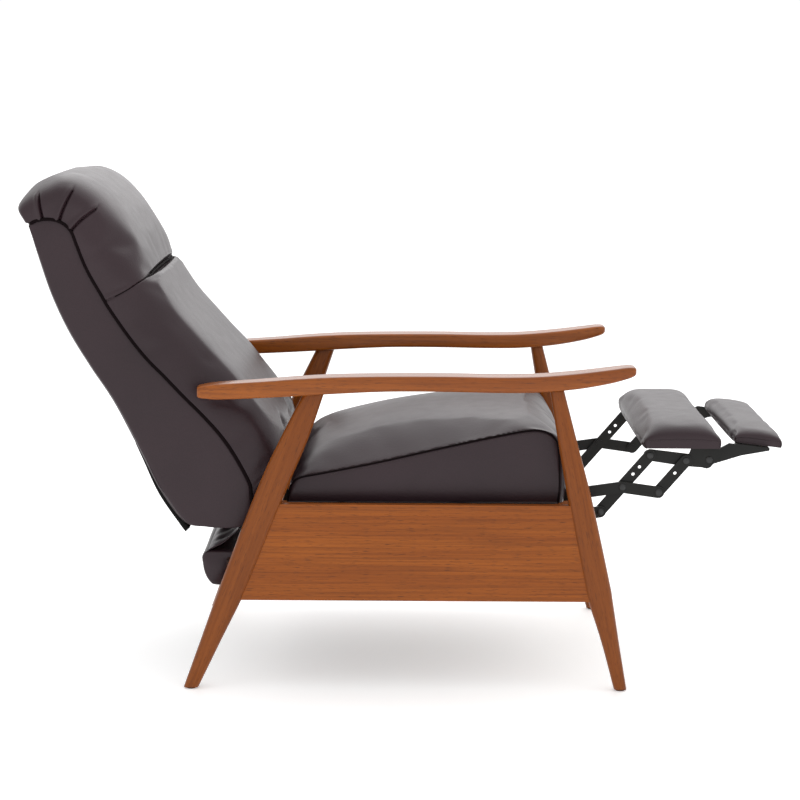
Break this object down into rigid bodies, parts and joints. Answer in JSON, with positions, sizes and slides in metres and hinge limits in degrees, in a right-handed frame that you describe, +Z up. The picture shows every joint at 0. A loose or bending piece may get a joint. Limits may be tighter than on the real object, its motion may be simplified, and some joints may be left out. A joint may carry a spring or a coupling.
{
  "type": "recliner armchair",
  "caption": "Reclining armchair with open wood arms and legs, leather seat and back, and a steel linkage that folds out a footrest with a flip-out pad.",
  "frame": {"origin": "middle of the whole chair on the floor, with the back reclined and the footrest out", "axes": "+X towards the sitter's feet, +Y to the sitter's left, +Z up"},
  "size_m": [1.4449, 0.6958, 0.967],
  "materials": {
    "wood": "satin walnut-stained wood",
    "frame_wood": "raw hardwood and plywood",
    "leather": "semi-gloss dark brown leather",
    "steel": "satin black",
    "spring_steel": "drawn wire",
    "webbing": "woven black tape",
    "glide": "matte"
  },
  "bodies": {
    "frame": {"arm_left": "wood", "arm_right": "wood", "front_leg_left": "wood", "front_leg_right": "wood", "rear_leg_left": "wood", "rear_leg_right": "wood", "side_panel_left": "wood", "side_panel_right": "wood", "glide_track_left": "steel", "glide_track_right": "steel", "front_glide_left": "glide", "front_glide_right": "glide", "rear_glide_left": "glide", "rear_glide_right": "glide", "front_cross_rail": "frame_wood", "rear_rail": "frame_wood", "rear_rail_cover": "leather", "rear_flap": "leather"},
    "seat": {"seat_side_rail_left": "frame_wood", "seat_side_rail_right": "frame_wood", "seat_plate_left": "steel", "seat_plate_right": "steel", "seat_front_bar": "frame_wood", "seat_rear_bar": "frame_wood", "seat_cushion": "leather", "seat_cross_tube": "steel", "seat_spring_1": "spring_steel", "seat_spring_2": "spring_steel", "seat_spring_3": "spring_steel", "seat_spring_4": "spring_steel"},
    "back": {"back_stile_left": "frame_wood", "back_stile_right": "frame_wood", "back_side_left": "leather", "back_side_right": "leather", "hinge_bracket_left": "steel", "hinge_bracket_right": "steel", "back_top_rail": "frame_wood", "back_middle_rail": "frame_wood", "back_bottom_rail": "frame_wood", "back_panel": "leather", "closure_strip": "webbing", "back_cushion": "leather", "head_cushion": "leather"},
    "lower_links": {"lower_link_left": "steel", "lower_link_right": "steel"},
    "cross_links": {"cross_link_left": "steel", "cross_link_right": "steel"},
    "front_links": {"front_link_left": "steel", "front_link_right": "steel"},
    "drive_links": {"drive_link_left": "steel", "drive_link_right": "steel"},
    "footrest": {"footrest_bracket_left": "steel", "footrest_bracket_right": "steel", "footrest_board": "frame_wood", "footrest_pad": "leather"},
    "flip": {"flip_arm_left": "steel", "flip_arm_right": "steel", "flip_board": "frame_wood", "flip_pad": "leather"}
  },
  "joints": [
    {"name": "seat_glide", "type": "slide", "parent": "frame", "child": "seat", "axis": [0.9945, 0, 0.1045], "range_m": [-0.045, 0]},
    {"name": "back_recline", "type": "hinge", "parent": "seat", "child": "back", "pos_m": [-0.2542, 0, 0.368], "axis": [0, 1, 0], "range_deg": [0, 19]},
    {"name": "footrest_fold", "type": "hinge", "parent": "seat", "child": "lower_links", "pos_m": [0.2858, 0, 0.361], "axis": [0, 1, 0], "range_deg": [0, 98]},
    {"name": "drive_link_pivot", "type": "hinge", "parent": "seat", "child": "drive_links", "pos_m": [0.2448, 0, 0.313], "axis": [0, 1, 0], "range_deg": [0, 98]},
    {"name": "cross_link_pivot", "type": "hinge", "parent": "lower_links", "child": "cross_links", "pos_m": [0.4098, 0, 0.379], "axis": [0, 1, 0], "range_deg": [-98, 0]},
    {"name": "front_link_pivot", "type": "hinge", "parent": "lower_links", "child": "front_links", "pos_m": [0.4791, 0, 0.3693], "axis": [0, 1, 0], "range_deg": [-98, 0]},
    {"name": "footrest_pivot", "type": "hinge", "parent": "cross_links", "child": "footrest", "pos_m": [0.4618, 0, 0.4398], "axis": [0, 1, 0], "range_deg": [0, 98]},
    {"name": "flip_pivot", "type": "hinge", "parent": "footrest", "child": "flip", "pos_m": [0.5758, 0, 0.431], "axis": [0, 1, 0], "range_deg": [0, 170]}
  ],
  "couplings": [
    {"joint": "seat_glide", "follows": "back_recline", "m_per_rad": -0.1357},
    {"joint": "drive_link_pivot", "follows": "footrest_fold", "ratio": 1},
    {"joint": "cross_link_pivot", "follows": "footrest_fold", "ratio": -1},
    {"joint": "front_link_pivot", "follows": "footrest_fold", "ratio": -1},
    {"joint": "footrest_pivot", "follows": "footrest_fold", "ratio": 1},
    {"joint": "flip_pivot", "follows": "footrest_fold", "ratio": 1.73}
  ]
}
